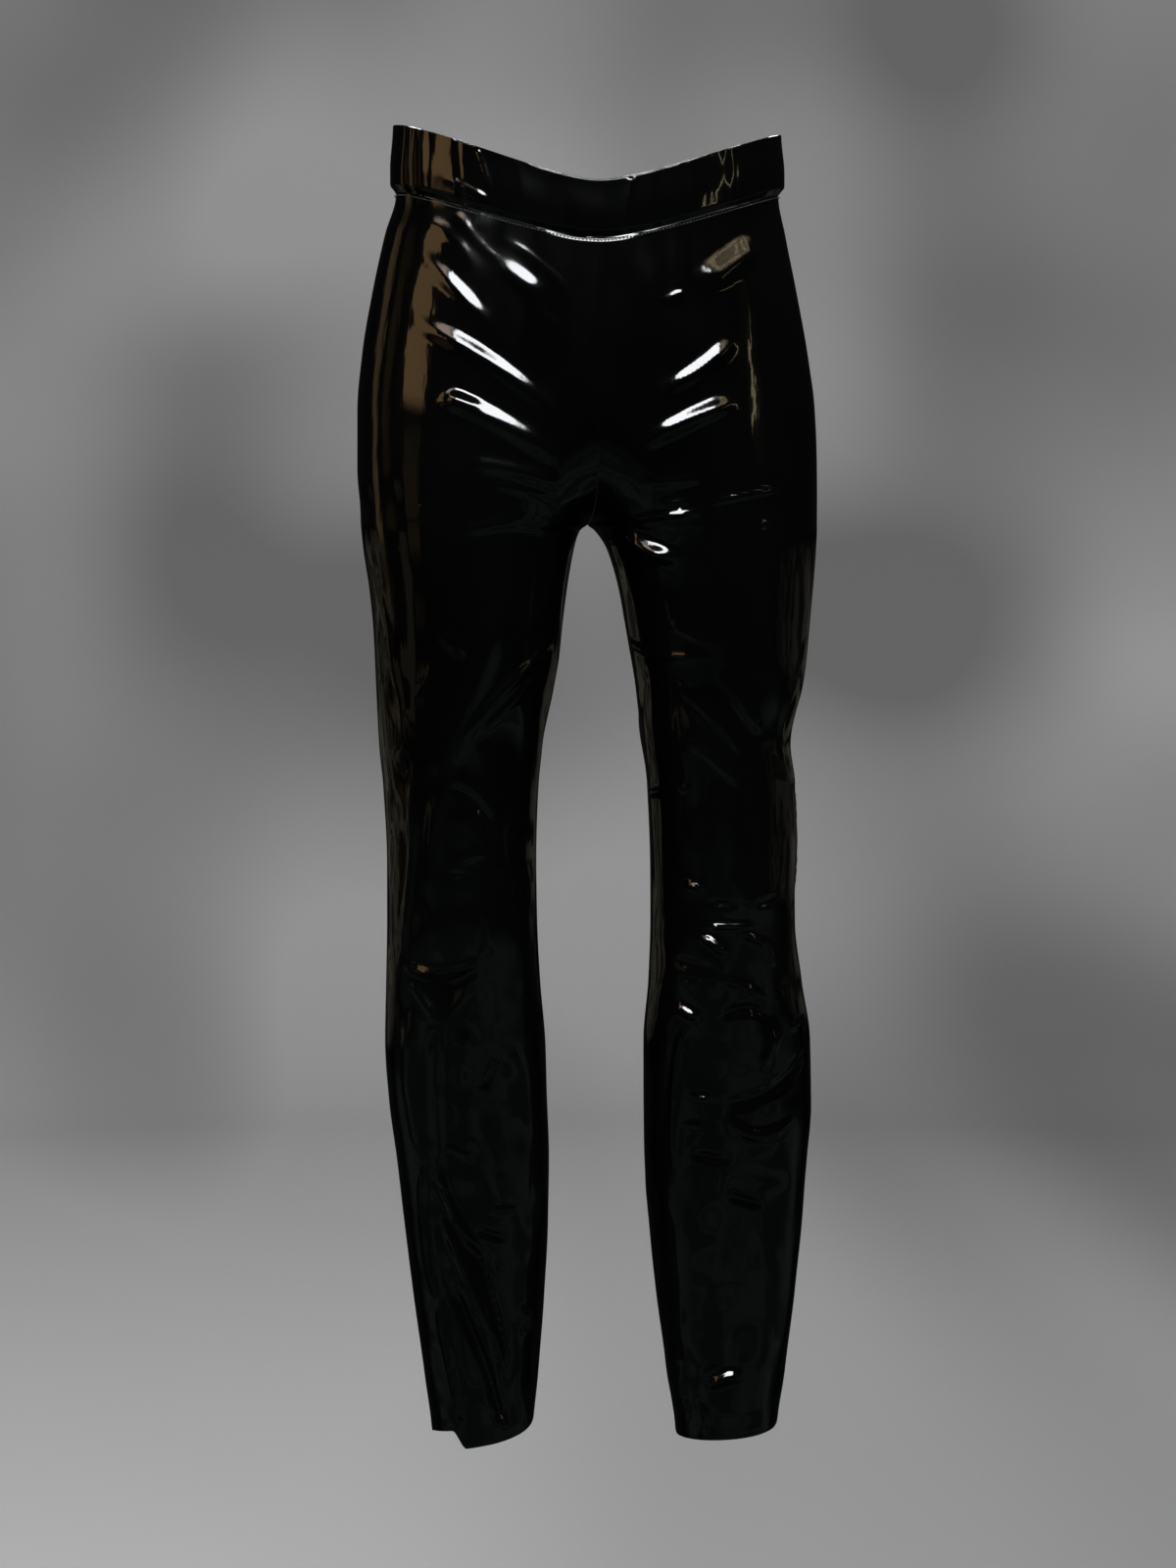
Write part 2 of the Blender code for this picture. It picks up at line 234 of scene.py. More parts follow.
# A row for each crease, in millimetres on the panel: s is the distance from the side seam and z the
# height, at its first and second end. bend is how far its middle bows to its upper side, above and
# below how wide its two flanks are, height how far it stands out (less than 0 is a trough), keen
# how pointed its crest is from 0 to 1, and fade1 and fade2 the shares of its length over which it
# dies out at each end. The upper side is the left of the way from the first end to the second, seen
# with the side seam at the left hand.
CREASE_NAMES = ("panel", "s1", "z1", "s2", "z2", "bend", "above", "below", "height", "keen", "fade1", "fade2")
CREASES = (
    ("front_right", 84, -26, 137, -69, -2.3, 4, 6, 0.35, 0.3, 0.1, 0.3),
    ("front_right", 122, -61, 172, -97, 1.2, 10, 9, 1.9, 0.1, 0.65, 0.35),
    ("front_right", 155, -84, 203, -126, -4.4, 6, 6, 0.9, 0.2, 0.3, 0.4),
    ("front_right", 121, -45, 203, -107, 6.0, 4, 5, 0.5, 0.3, 0.3, 0.4),
    ("front_right", 58, -31, 119, -77, 5.3, 8, 6, 0.6, 0.2, 0.3, 0.3),
    ("front_right", 61, -52, 143, -120, 1.4, 8, 9, 1.6, 0.15, 0.5, 0.35),
    ("front_right", 59, -101, 211, -190, 7.7, 10, 10, 3.3, 0.1, 0.5, 0.35),
    ("front_right", 104, -164, 203, -214, 3.3, 13, 9, 3.9, 0.05, 0.15, 0.35),
    ("front_right", 109, -162, 142, -174, 0.3, 7, 6, 1.2, 0.3, 0.3, 0.3),
    ("front_right", 125, -213, 203, -232, 3.8, 9, 9, 2.2, 0.2, 0.25, 0.2),
    ("front_right", 143, -227, 203, -240, -0.5, 4, 5, 0.9, 0.4, 0.3, 0.3),
    ("front_right", 121, -264, 179, -253, -0.7, 6, 7, 1.5, 0.3, 0.25, 0.4),
    ("front_right", 104, -183, 119, -183, 0.3, 2.5, 3, 0.5, 0.4, 0.4, 0.4),
    ("front_right", 85, -247, 103, -247, 0.7, 2.5, 3, 0.5, 0.4, 0.4, 0.4),
    ("front_left", 59, -47, 136, -90, 1.3, 17, 10, 2.7, 0, 0.3, 0.35),
    ("front_left", 140, -86, 162, -96, 0.6, 5, 5, 0.8, 0.2, 0.3, 0.4),
    ("front_left", 110, -119, 186, -166, -3.0, 9, 9, 3.2, 0.2, 0.3, 0.4),
    ("front_left", 118, -167, 199, -202, 2.4, 11, 9, 4, 0.1, 0.25, 0.35),
    ("front_left", 130, -192, 145, -192, 0.4, 2.5, 3, 0.8, 0.4, 0.4, 0.4),
    ("front_left", 148, -223, 199, -228, -1.3, 5, 6, 1.2, 0.3, 0.3, 0.3),
    ("front_left", 84, -232, 153, -245, 1.8, 3.5, 5, 1.7, 0.4, 0.2, 0.3),
    ("front_left", 160, -241, 188, -243, -1.1, 5, 5, 2.2, 0.2, 0.35, 0.35),
    ("front_left", 147, -249, 217, -256, 1.2, 4, 5, 2.6, 0.2, 0.3, 0.2),
    ("front_left", 168, -288, 220, -264, -0.6, 9, 7, 8.6, 0.1, 0.35, 0.3),
    ("front_right", 93, -441, 205, -344, 13.5, 5, 8, 2.7, 0.4, 0.3, 0.2),
    ("front_right", 112, -421, 192, -358, 1.8, 4, 6, 1.6, 0.4, 0.3, 0.3),
    ("front_right", 158, -299, 86, -449, -1.2, 13, 13, 2.9, 0, 0.3, 0.3),
    ("front_right", 87, -445, 74, -560, -8.9, 9, 9, 2.1, 0.1, 0.3, 0.3),
    ("front_right", 29, -277, 60, -438, 4.0, 6, 7, 1.3, 0.4, 0.2, 0.2),
    ("front_right", 62, -431, 37, -594, 1.6, 6, 7, 2.1, 0.4, 0.2, 0.3),
    ("front_right", 71, -388, 91, -358, -1.2, 3, 4, 1.1, 0.3, 0.4, 0.4),
    ("front_right", 96, -332, 116, -358, -0.4, 10, 10, 1.8, 0, 0.4, 0.4),
    ("front_right", 90, -452, 121, -490, 5.0, 6, 6, -2.1, 0.2, 0.3, 0.3),
    ("front_right", 90, -511, 113, -504, 0.7, 4, 5, 1.3, 0.3, 0.35, 0.35),
    ("front_right", 82, -520, 99, -520, -0.7, 3.6, 3.6, -1.9, 0.3, 0.35, 0.35),
    ("front_right", 106, -538, 105, -591, 6.5, 6, 6, 2, 0.3, 0.3, 0.3),
    ("front_right", 40, -595, 106, -589, -11.6, 4.2, 33.6, -7.5, 0.1, 0.45, 0.45),
    ("front_right", 41, -592, 107, -586, -6.3, 6, 4.8, 2.8, 0.3, 0.25, 0.25),
    ("front_right", 48, -603, 71, -632, -0.5, 4.8, 6, 2.3, 0.4, 0.25, 0.3),
    ("front_right", 103, -595, 79, -631, 0.8, 4.8, 6, 2.3, 0.4, 0.25, 0.3),
    ("front_right", 48, -624, 47, -748, -3.0, 9, 10, 3.4, 0.3, 0.2, 0.2),
    ("front_right", 48, -741, 44, -857, -7.6, 5.1, 6.1, 3.8, 0.5, 0.2, 0.2),
    ("front_right", 45, -848, 56, -945, -4.2, 5.1, 6.1, 4.3, 0.5, 0.25, 0.05),
    ("front_right", 71, -635, 60, -754, -0.4, 8, 9, 2.8, 0.3, 0.2, 0.2),
    ("front_right", 60, -746, 90, -821, -8.2, 5.1, 7.1, 4.1, 0.4, 0.2, 0.3),
    ("front_right", 90, -633, 83, -686, 3.5, 13, 13, 1.8, 0, 0.4, 0.4),
    ("front_right", 115, -662, 100, -687, 0.8, 6, 6, -1.9, 0.2, 0.3, 0.3),
    ("front_right", 66, -729, 88, -741, 0.4, 3, 5, 1.3, 0.3, 0.3, 0.3),
    ("front_right", 92, -781, 116, -781, 1.4, 3, 4, 1.1, 0.3, 0.35, 0.35),
    ("front_right", 81, -793, 105, -802, -1.7, 4.8, 6, -2, 0.3, 0.3, 0.3),
    ("front_right", 57, -783, 91, -909, -0.1, 7.6, 7.6, 4.9, 0.2, 0.2, 0.3),
    ("front_right", 72, -791, 93, -916, 5.5, 6.8, 6.0, -4.6, 0.3, 0.25, 0.3),
    ("front_right", 54, -827, 91, -950, -0.7, 6.8, 7.6, -5.7, 0.2, 0.25, 0.1),
    ("front_right", 77, -926, 91, -952, 0.1, 3, 3.6, 2, 0.5, 0.4, 0.1),
    ("front_right", 49, -841, 55, -947, -1.9, 3.6, 4.8, 2.3, 0.6, 0.25, 0.05),
    ("front_right", 113, -855, 110, -882, 2.0, 8.4, 8.4, 3.8, 0.1, 0.4, 0.4),
    ("front_right", 103, -911, 116, -957, -1.6, 4.8, 4.8, 2, 0.3, 0.3, 0.1),
    ("front_left", 130, -358, 234, -347, -3.6, 4, 5, 1.8, 0.5, 0.25, 0.15),
    ("front_left", 134, -349, 177, -331, 0.2, 3, 4, 1.2, 0.4, 0.3, 0.3),
    ("front_left", 196, -356, 168, -450, -3.9, 3, 3, 1, 0.4, 0.2, 0.4),
    ("front_left", 172, -357, 146, -436, 0.1, 3, 3, 0.8, 0.4, 0.2, 0.4),
    ("front_left", 145, -391, 157, -376, 0.1, 3, 3, 1.3, 0.4, 0.35, 0.35),
    ("front_left", 95, -437, 149, -390, 2.5, 5, 5, -2.1, 0.2, 0.3, 0.3),
    ("front_left", 94, -456, 136, -418, 1.3, 5, 6, 2.2, 0.3, 0.3, 0.3),
    ("front_left", 76, -417, 123, -368, -1.9, 5, 6, 2.1, 0.3, 0.3, 0.3),
    ("front_left", 130, -457, 197, -466, 0.4, 4, 4, 1.6, 0.3, 0.3, 0.3),
    ("front_left", 33, -337, 38, -456, 19.0, 5, 6, 2.2, 0.5, 0.2, 0.2),
    ("front_left", 34, -449, 37, -554, -19.5, 5, 6, 1.6, 0.4, 0.2, 0.3),
    ("front_left", 118, -535, 135, -530, 0.9, 4, 4, 2.6, 0.2, 0.25, 0.25),
    ("front_left", 91, -545, 116, -543, -0.9, 3.6, 4.8, -2, 0.3, 0.3, 0.3),
    ("front_left", 58, -539, 79, -546, -0.9, 3.6, 4.8, -2, 0.3, 0.3, 0.3),
    ("front_left", 78, -563, 120, -563, 1.5, 4, 6, 2.4, 0.3, 0.3, 0.3),
    ("front_left", 102, -584, 120, -570, 1.5, 6, 5, 4.2, 0.2, 0.2, 0.25),
    ("front_left", 65, -578, 92, -566, 0.4, 3.5, 5, 2.7, 0.4, 0.2, 0.25),
    ("front_left", 60, -594, 69, -576, 0.6, 3.5, 4, 2.1, 0.4, 0.35, 0.35),
    ("front_left", 106, -596, 146, -588, -0.4, 6, 7.2, -1.9, 0.2, 0.3, 0.3),
    ("front_left", 124, -608, 138, -608, 0.8, 3, 3, 1.8, 0.3, 0.35, 0.35),
    ("front_left", 69, -621, 110, -602, 3.5, 4, 6, 2.4, 0.3, 0.3, 0.3),
    ("front_left", 125, -634, 145, -624, -0.1, 6, 5, 3.8, 0.2, 0.25, 0.25),
    ("front_left", 69, -633, 109, -633, 7.6, 6, 7.2, -3.2, 0.2, 0.3, 0.3),
    ("front_left", 18, -637, 49, -645, 1.5, 4, 4, 2.4, 0.3, 0.35, 0.35),
    ("front_left", 138, -636, 142, -751, 5.7, 4.8, 6, 2.3, 0.5, 0.2, 0.25),
    ("front_left", 113, -694, 133, -695, 0.1, 3, 4, 1.8, 0.3, 0.35, 0.35),
    ("front_left", 25, -657, 111, -701, -10.0, 8.4, 9.6, -2.8, 0.2, 0.2, 0.3),
    ("front_left", 44, -712, 106, -706, -16.6, 7.2, 7.2, 2.6, 0.2, 0.3, 0.3),
    ("front_left", 64, -641, 78, -676, -0.1, 4.8, 7.2, 3.8, 0.4, 0.3, 0.3),
    ("front_left", 119, -717, 134, -718, 0.4, 3, 3, 1.2, 0.3, 0.35, 0.35),
    ("front_left", 94, -744, 127, -738, -0.4, 4.8, 6, -2, 0.2, 0.3, 0.3),
    ("front_left", 63, -780, 97, -769, -1.3, 4.8, 6, -1.9, 0.2, 0.3, 0.3),
    ("front_left", 85, -906, 102, -918, 2.0, 3, 4, 1.8, 0.3, 0.3, 0.3),
    ("front_left", 67, -913, 96, -924, 2.2, 8, 6, 4.8, 0.1, 0.35, 0.35),
    ("front_left", 102, -935, 97, -964, -6.2, 3.6, 4.2, 3, 0.5, 0.3, 0.05),
    ("front_left", 112, -935, 112, -947, -0.0, 3.6, 3.6, 2.3, 0.2, 0.4, 0.4),
    ("front_left", 124, -908, 113, -952, 0.1, 4.8, 4.8, 1.6, 0.3, 0.3, 0.3),
    ("back_right", 52, -52, 128, -96, 5.0, 9, 10, 1.6, 0.2, 0.3, 0.4),
    ("back_right", 36, -96, 132, -158, 6.0, 11, 12, 2.4, 0.1, 0.3, 0.4),
    ("back_right", 30, -150, 96, -196, 3.0, 9, 10, 1.8, 0.2, 0.3, 0.3),
    ("back_right", 62, -186, 172, -236, 8.0, 12, 11, 3.0, 0.1, 0.3, 0.25),
    ("back_right", 74, -228, 190, -262, 5.0, 11, 9, 2.8, 0.1, 0.3, 0.2),
    ("back_right", 58, -282, 168, -276, -7.0, 12, 9, 3.2, 0.2, 0.35, 0.15),
    ("back_right", 84, -304, 176, -292, -4.0, 8, 8, 2.0, 0.2, 0.3, 0.15),
    ("back_right", 32, -322, 108, -352, 3.0, 10, 11, 1.6, 0.1, 0.4, 0.4),
    ("back_right", 176, -118, 222, -96, -2.0, 8, 7, 1.3, 0.2, 0.35, 0.2),
    ("back_right", 168, -196, 216, -178, -2.0, 9, 8, 1.5, 0.2, 0.35, 0.2),
    ("back_right", 20, -392, 96, -448, 5.0, 13, 12, 1.7, 0.1, 0.35, 0.35),
    ("back_right", 64, -486, 146, -440, -4.0, 10, 12, 1.6, 0.1, 0.35, 0.3),
    ("back_right", 24, -512, 88, -530, 2.0, 7, 8, 1.5, 0.3, 0.3, 0.4),
    ("back_right", 18, -546, 124, -560, -4.0, 8, 10, 2.8, 0.3, 0.2, 0.3),
    ("back_right", 40, -574, 142, -568, 4.0, 8, 9, 3.2, 0.3, 0.3, 0.25),
    ("back_right", 14, -596, 112, -610, -5.0, 9, 9, 3.0, 0.3, 0.2, 0.3),
    ("back_right", 56, -634, 138, -618, 3.0, 8, 8, 2.0, 0.3, 0.3, 0.25),
    ("back_right", 26, -648, 92, -668, 2.0, 6, 7, 1.5, 0.3, 0.3, 0.35),
    ("back_right", 70, -560, 96, -590, 2.0, 6, 6, -1.8, 0.2, 0.3, 0.3),
    ("back_right", 60, -690, 74, -806, 4.0, 9, 9, 1.3, 0.1, 0.3, 0.3),
    ("back_right", 104, -742, 126, -836, -4.0, 9, 8, 1.5, 0.1, 0.3, 0.3),
    ("back_right", 28, -846, 96, -872, 3.0, 7, 8, 1.3, 0.2, 0.35, 0.35),
    ("back_right", 44, -872, 58, -962, 3.0, 7, 8, 1.9, 0.3, 0.3, 0.05),
    ("back_right", 88, -858, 104, -962, -3.0, 8, 9, 2.2, 0.3, 0.3, 0.05),
    ("back_left", 46, -44, 118, -92, 4.0, 9, 11, 1.5, 0.2, 0.3, 0.4),
    ("back_left", 30, -110, 140, -164, 7.0, 12, 11, 2.6, 0.1, 0.25, 0.4),
    ("back_left", 74, -152, 150, -206, 4.0, 9, 9, 1.7, 0.2, 0.35, 0.3),
    ("back_left", 50, -198, 176, -244, 7.0, 12, 12, 3.2, 0.1, 0.3, 0.2),
    ("back_left", 90, -254, 186, -266, 3.0, 10, 8, 2.4, 0.1, 0.3, 0.2),
    ("back_left", 44, -272, 158, -284, -8.0, 11, 9, 3.0, 0.2, 0.35, 0.2),
    ("back_left", 70, -312, 170, -296, -4.0, 9, 8, 2.1, 0.2, 0.3, 0.15),
    ("back_left", 22, -340, 90, -378, 4.0, 11, 10, 1.5, 0.1, 0.35, 0.4),
    ("back_left", 182, -136, 226, -112, -2.0, 7, 8, 1.2, 0.2, 0.35, 0.2),
    ("back_left", 172, -212, 214, -202, -2.0, 9, 7, 1.4, 0.2, 0.35, 0.2),
    ("back_left", 30, -420, 112, -470, 4.0, 12, 13, 1.8, 0.1, 0.35, 0.35),
    ("back_left", 80, -504, 150, -468, -3.0, 9, 11, 1.5, 0.1, 0.3, 0.3),
    ("back_left", 20, -534, 104, -542, -3.0, 8, 9, 2.2, 0.3, 0.2, 0.35),
    ("back_left", 34, -562, 140, -556, 5.0, 8, 9, 3.1, 0.3, 0.25, 0.25),
    ("back_left", 16, -586, 118, -596, -4.0, 9, 10, 3.2, 0.3, 0.2, 0.3),
    ("back_left", 48, -616, 144, -606, 3.0, 8, 8, 2.4, 0.3, 0.3, 0.2),
    ("back_left", 22, -638, 98, -652, -2.0, 7, 7, 1.8, 0.3, 0.25, 0.35),
    ("back_left", 92, -574, 112, -604, -2.0, 6, 6, -1.7, 0.2, 0.3, 0.3),
    ("back_left", 52, -708, 80, -796, 3.0, 9, 8, 1.4, 0.1, 0.3, 0.3),
    ("back_left", 112, -722, 120, -812, -3.0, 8, 9, 1.2, 0.1, 0.3, 0.3),
    ("back_left", 40, -858, 104, -836, -3.0, 7, 8, 1.4, 0.2, 0.35, 0.35),
    ("back_left", 62, -882, 52, -966, 2.0, 8, 7, 1.8, 0.3, 0.3, 0.05),
    ("back_left", 108, -876, 96, -968, -2.0, 8, 8, 1.9, 0.3, 0.3, 0.05),
)


def relief(panel, s, z):
    total = np.zeros_like(s)
    for row in CREASES:
        if row[0] != panel:
            continue
        s1, z1, s2, z2, bend, above, below, height, keen, fade1, fade2 = (v for v in row[1:])
        length = math.hypot(s2 - s1, z2 - z1) / 1000
        es, ez = (s2 - s1) / 1000 / length, (z2 - z1) / 1000 / length
        ds, dz = s - s1 / 1000, z - z1 / 1000
        t = (ds * es + dz * ez) / length
        d = -ds * ez + dz * es - 4 * bend / 1000 * t * (1 - t)
        w = np.where(d > 0, above, below) / 1000
        r = np.clip(np.abs(d) / w, 0, 1)
        f = (1 - r) ** 2 * (1 + 2 * (1 - keen) * r)
        f = f * smooth(t / max(fade1, 1e-3)) * smooth((1 - t) / max(fade2, 1e-3))
        total += np.where((t > 0) & (t < 1), height / 1000 * f, 0)
    return total


def mesh_of(name, verts, faces, inside, materials):
    mesh = bpy.data.meshes.new(name)
    mesh.from_pydata(verts.tolist(), [], faces.tolist())
    mesh.update()
    for m in materials:
        mesh.materials.append(m)
    mesh.polygons.foreach_set("material_index", np.asarray(inside, np.int32))
    mesh.shade_smooth()
    mesh.set_sharp_from_angle(angle=math.radians(48))
    obj = bpy.data.objects.new(name, mesh)
    bpy.context.scene.collection.objects.link(obj)
    return obj


def closed_shell(name, outer, inner, materials):
    """A closed shell between two grids of points, the rows of which run top to bottom."""
    rows, cols = outer.shape[:2]
    index = np.arange(rows * cols).reshape(rows, cols)
    a, b, c, d = index[:-1, :-1], index[1:, :-1], index[1:, 1:], index[:-1, 1:]
    front = np.stack([a, b, c, d], axis=-1).reshape(-1, 4)
    back = front[:, ::-1] + rows * cols
    ring = np.concatenate([index[0, :-1], index[:-1, -1], index[-1, :0:-1], index[:0:-1, 0]])
    following = np.roll(ring, -1)
    rim = np.stack([ring, following, following + rows * cols, ring + rows * cols], axis=-1)
    faces = np.concatenate([front, back, rim])
    inside = np.concatenate([np.zeros(len(front)), np.ones(len(back)), np.zeros(len(rim))])
    verts = np.concatenate([outer.reshape(-1, 3), inner.reshape(-1, 3)])
    p = verts[front[len(front) // 2]]
    q = verts[back[len(front) // 2]]
    if np.cross(p[1] - p[0], p[2] - p[0]) @ (p.mean(0) - q.mean(0)) < 0:
        faces = faces[:, ::-1]
    return mesh_of(name, verts, faces, inside, materials)


def fitted(points, node):
    """Moves the form's points onto the CAD node's own box in height and in how far out they reach."""
    lo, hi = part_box(node)
    z = points[..., 2]
    points[..., 2] = lo.z + (z - z.min()) * (hi.z - lo.z) / (z.max() - z.min())
    reach = np.abs(points[..., 0]).max()
    points[..., 0] *= max(abs(lo.x), abs(hi.x)) / reach
    return points


def leg_panel(face, side, across, down, materials, seed):
    name = face + "_" + side
    u = columns_of(across)
    level = np.concatenate([np.linspace(WAIST_SIDE, HEM + 0.004, down - 4), HEM + np.array([0.0026, 0.0014, 0.0005, 0.0])])
    base = fitted(leg_points(face, side, u, level), name)
    for end, near in ((0, 1), (-1, -2)):
        way = base[:, near] - base[:, end]
        base[:, end] += way / np.linalg.norm(way, axis=1, keepdims=True) * CLOSED / 2
    above_crotch = level > CROTCH + 0.0001
    base[above_crotch, 0, 0] = math.copysign(CLOSED / 2, base[0, -1, 0])
    out = np.array([0, -1.0 if face == "front" else 1.0, 0])
    n = normals_of(base, out)
    s, from_middle = from_side(base)
    z = base[..., 2]
    seam = np.minimum(s, from_middle)
    free = smooth((seam - 0.001) / 0.010) * smooth((level[0] - level[:, None] + 0.002) / 0.012)
    push = relief(name, s, z) * free
    calm = smooth((seam - 0.002) / 0.02) * smooth((level[:, None] - HEM) / 0.02)
    push += calm * (
        0.00045 * patches(s, z, 0.034, 0.110, seed)
        + 0.00020 * patches(s, z, 0.015, 0.060, seed + 1)
        + 0.00006 * patches(s, z, 0.008, 0.016, seed + 2)
        + smooth((-0.30 - z) / 0.10) * (0.0016 * patches(s, z, 0.040, 0.062, seed + 3) + 0.0008 * patches(s, z, 0.019, 0.030, seed + 4))
    )
    shaped = base + n * push[..., None]
    facing = normals_of(shaped, out)
    inner = shaped - facing * LEATHER
    below_waist = np.clip((level[0] - level[:, None]) / 0.0034, 0, 1)
    lip = 0.0012 * smooth((0.042 - np.abs(base[..., 0] + 0.005)) / 0.024) * (1 - np.sqrt(below_waist * (2 - below_waist)))
    roll = 0.00045 * (1 - np.sqrt(np.clip(seam / 0.0016, 0, 1) * (2 - np.clip(seam / 0.0016, 0, 1))))
    roll = roll * np.where(above_crotch[:, None] & (from_middle < 0.01), 0.35, 1.0)
    roll = np.maximum(roll, 0.0005 * (1 - np.sqrt(np.clip(np.abs(level[:, None] - HEM) / 0.0026, 0, 1))) )
    outer = shaped - facing * np.minimum(roll + lip * 0.75, 0.00105)[..., None]
    return closed_shell(name + "_leather", outer, inner, materials)


# --- the waistband ----------------------------------------------------------------------------

# A row for each crease of the waistband, in millimetres: x is the distance from the middle of the
# front (or back), less than 0 towards the wearer's right, and v the height above its lower edge.
BAND_CREASES = (
    ("front", -150, -8, -153, 62, 0.0, 8, 7, -0.7, 0.1, 0.05, 0.05),
    ("front", -136, -8, -138, 60, 0.0, 6, 8, 0.6, 0.1, 0.05, 0.05),
    ("front", -118, 18, -70, 7, 1.2, 6, 5, 1.2, 0.2, 0.35, 0.35),
    ("front", -72, -6, -90, 46, -1.0, 3.5, 4, 0.7, 0.4, 0.05, 0.05),
    ("front", -100, -6, -106, 50, 1.0, 5, 5, -0.5, 0.2, 0.05, 0.05),
    ("front", -46, -6, -60, 44, 0.5, 5, 6, 0.35, 0.2, 0.05, 0.05),
    ("front", -28, -6, -30, 42, 0.0, 5, 6, -0.3, 0.1, 0.05, 0.05),
    ("front", 15, -6, 24, 42, 0.6, 4, 6, 1.3, 0.3, 0.05, 0.05),
    ("front", 40, -6, 46, 44, 0.0, 7, 7, -0.35, 0.1, 0.05, 0.05),
    ("front", 66, -6, 70, 46, -0.8, 6, 8, 0.35, 0.2, 0.05, 0.05),
    ("front", 98, -6, 100, 50, 0.5, 8, 6, -0.4, 0.1, 0.05, 0.05),
    ("front", 128, -8, 126, 54, 0.0, 6, 6, 0.5, 0.2, 0.05, 0.05),
    ("front", 152, -8, 150, 56, 0.0, 7, 7, -0.5, 0.2, 0.05, 0.05),
    ("back", -140, -8, -142, 60, 0.0, 8, 7, -0.6, 0.1, 0.05, 0.05),
    ("back", -104, -8, -99, 56, 0.0, 6, 8, 0.6, 0.2, 0.05, 0.05),
    ("back", -70, -8, -74, 52, 0.6, 7, 5, -0.4, 0.1, 0.05, 0.05),
    ("back", -36, -8, -32, 48, 0.0, 6, 6, 0.5, 0.3, 0.05, 0.05),
    ("back", 10, -8, 4, 48, 0.5, 5, 7, -0.5, 0.2, 0.05, 0.05),
    ("back", 48, -8, 52, 50, 0.0, 6, 5, 0.7, 0.3, 0.05, 0.05),
    ("back", 92, -8, 90, 54, -0.6, 8, 7, -0.4, 0.1, 0.05, 0.05),
    ("back", 131, -8, 134, 58, 0.0, 6, 8, 0.5, 0.2, 0.05, 0.05),
)


def band_relief(face, x, v):
    total = np.zeros_like(x)
    for row in BAND_CREASES:
        if row[0] != face:
            continue
        x1, v1, x2, v2, bend, left, right, height, keen, fade1, fade2 = row[1:]
        length = math.hypot(x2 - x1, v2 - v1) / 1000
        ex, ev = (x2 - x1) / 1000 / length, (v2 - v1) / 1000 / length
        dx, dv = x - x1 / 1000, v - v1 / 1000
        t = (dx * ex + dv * ev) / length
        d = -dx * ev + dv * ex - 4 * bend / 1000 * t * (1 - t)
        w = np.where(d > 0, left, right) / 1000
        r = np.clip(np.abs(d) / w, 0, 1)
        f = (1 - r) ** 2 * (1 + 2 * (1 - keen) * r)
        f = f * smooth(t / max(fade1, 1e-3)) * smooth((1 - t) / max(fade2, 1e-3))
        total += np.where((t > 0) & (t < 1), height / 1000 * f, 0)
    return total


def waistband(face, materials, seed):
    name = "waistband_" + face
    half = columns_of(150)
    level = np.array([WAIST_SIDE])
    right = fitted_waist(face, "right", half[::-1])
    left = fitted_waist(face, "left", half[1:])
    body = np.concatenate([right, left])
    out = float(column(SECTIONS, SECTION_NAMES, "right_out", WAIST_SIDE))
    seam = float(column(SECTIONS, SECTION_NAMES, "seam", WAIST_SIDE))
    for end, near in ((0, 1), (-1, -2)):
        way = body[near] - body[end]
        body[end] += way / np.linalg.norm(way) * CLOSED / 2
    low = body[:, 2] + SEAM
    side_top = np.where(body[:, 0] < 0, BAND_TOP["right"], BAND_TOP["left"])
    high = BAND_TOP[face] + (side_top - BAND_TOP[face]) * rise(body[:, 0] / out)
    outward = np.stack([body[:, 0] / out**2, (body[:, 1] - seam) / 0.086**2, np.zeros(len(body))], axis=-1)
    outward /= np.linalg.norm(outward, axis=1, keepdims=True)
    steps = np.linalg.norm(np.diff(body[:, :2], axis=0), axis=1)
    along = np.concatenate([[0], np.cumsum(steps)])
    middle = np.interp(0, body[:, 0], along)
    along = along - middle
    count = 44
    v = np.concatenate([[0, 0.008, 0.02, 0.036], np.linspace(0.055, 0.945, count - 8), [0.964, 0.98, 0.992, 1.0]])[::-1]
    height = high - low
    vv = v[:, None] * height[None, :]
    stands = 0.0006 + 0.0040 * smooth(v / 0.14) - 0.0022 * smooth((v - 0.35) / 0.65)
    points = np.empty((count, len(body), 3))
    points[..., 0], points[..., 1] = body[None, :, 0], body[None, :, 1]
    points[..., 2] = low[None, :] + vv
    points += outward[None] * stands[:, None, None]
    points = fitted(points, name)
    sideways = np.minimum(along - along[0], along[-1] - along)[None, :]
    calm = smooth((sideways - 0.002) / 0.012)
    push = band_relief(face, np.broadcast_to(along[None, :], vv.shape), vv) * calm
    push += calm * (
        0.00040 * patches(along[None, :] + 0.3, vv, 0.017, 0.060, seed)
        + 0.00016 * patches(along[None, :] + 0.3, vv, 0.007, 0.040, seed + 1)
    )
    shaped = points + outward[None] * push[..., None]
    facing = normals_of(shaped, np.array([0, -1.0 if face == "front" else 1.0, 0]))
    inner = shaped - facing * BAND
    edge = np.minimum(vv, height[None, :] - vv)
    r = np.clip(edge / 0.0011, 0, 1)
    roll = 0.0010 * (1 - np.sqrt(r * (2 - r)))
    r = np.clip(sideways / 0.0024, 0, 1)
    roll = np.maximum(roll, 0.0009 * (1 - np.sqrt(r * (2 - r))))
    worn = np.clip(0.30 + 1.6 * patches(along, along * 0, 0.016, 1.0, seed + 7), 0.04, 1)
    roll = np.where(vv > height[None, :] / 2, roll * (worn if worn.ndim == 2 else worn[None, :]), roll)
    outer = shaped - facing * roll[..., None]
    inner = inner + facing * (0.8 * roll[..., None])
    return closed_shell(name + "_leather", outer, inner, materials), points[-1], facing[-1], along


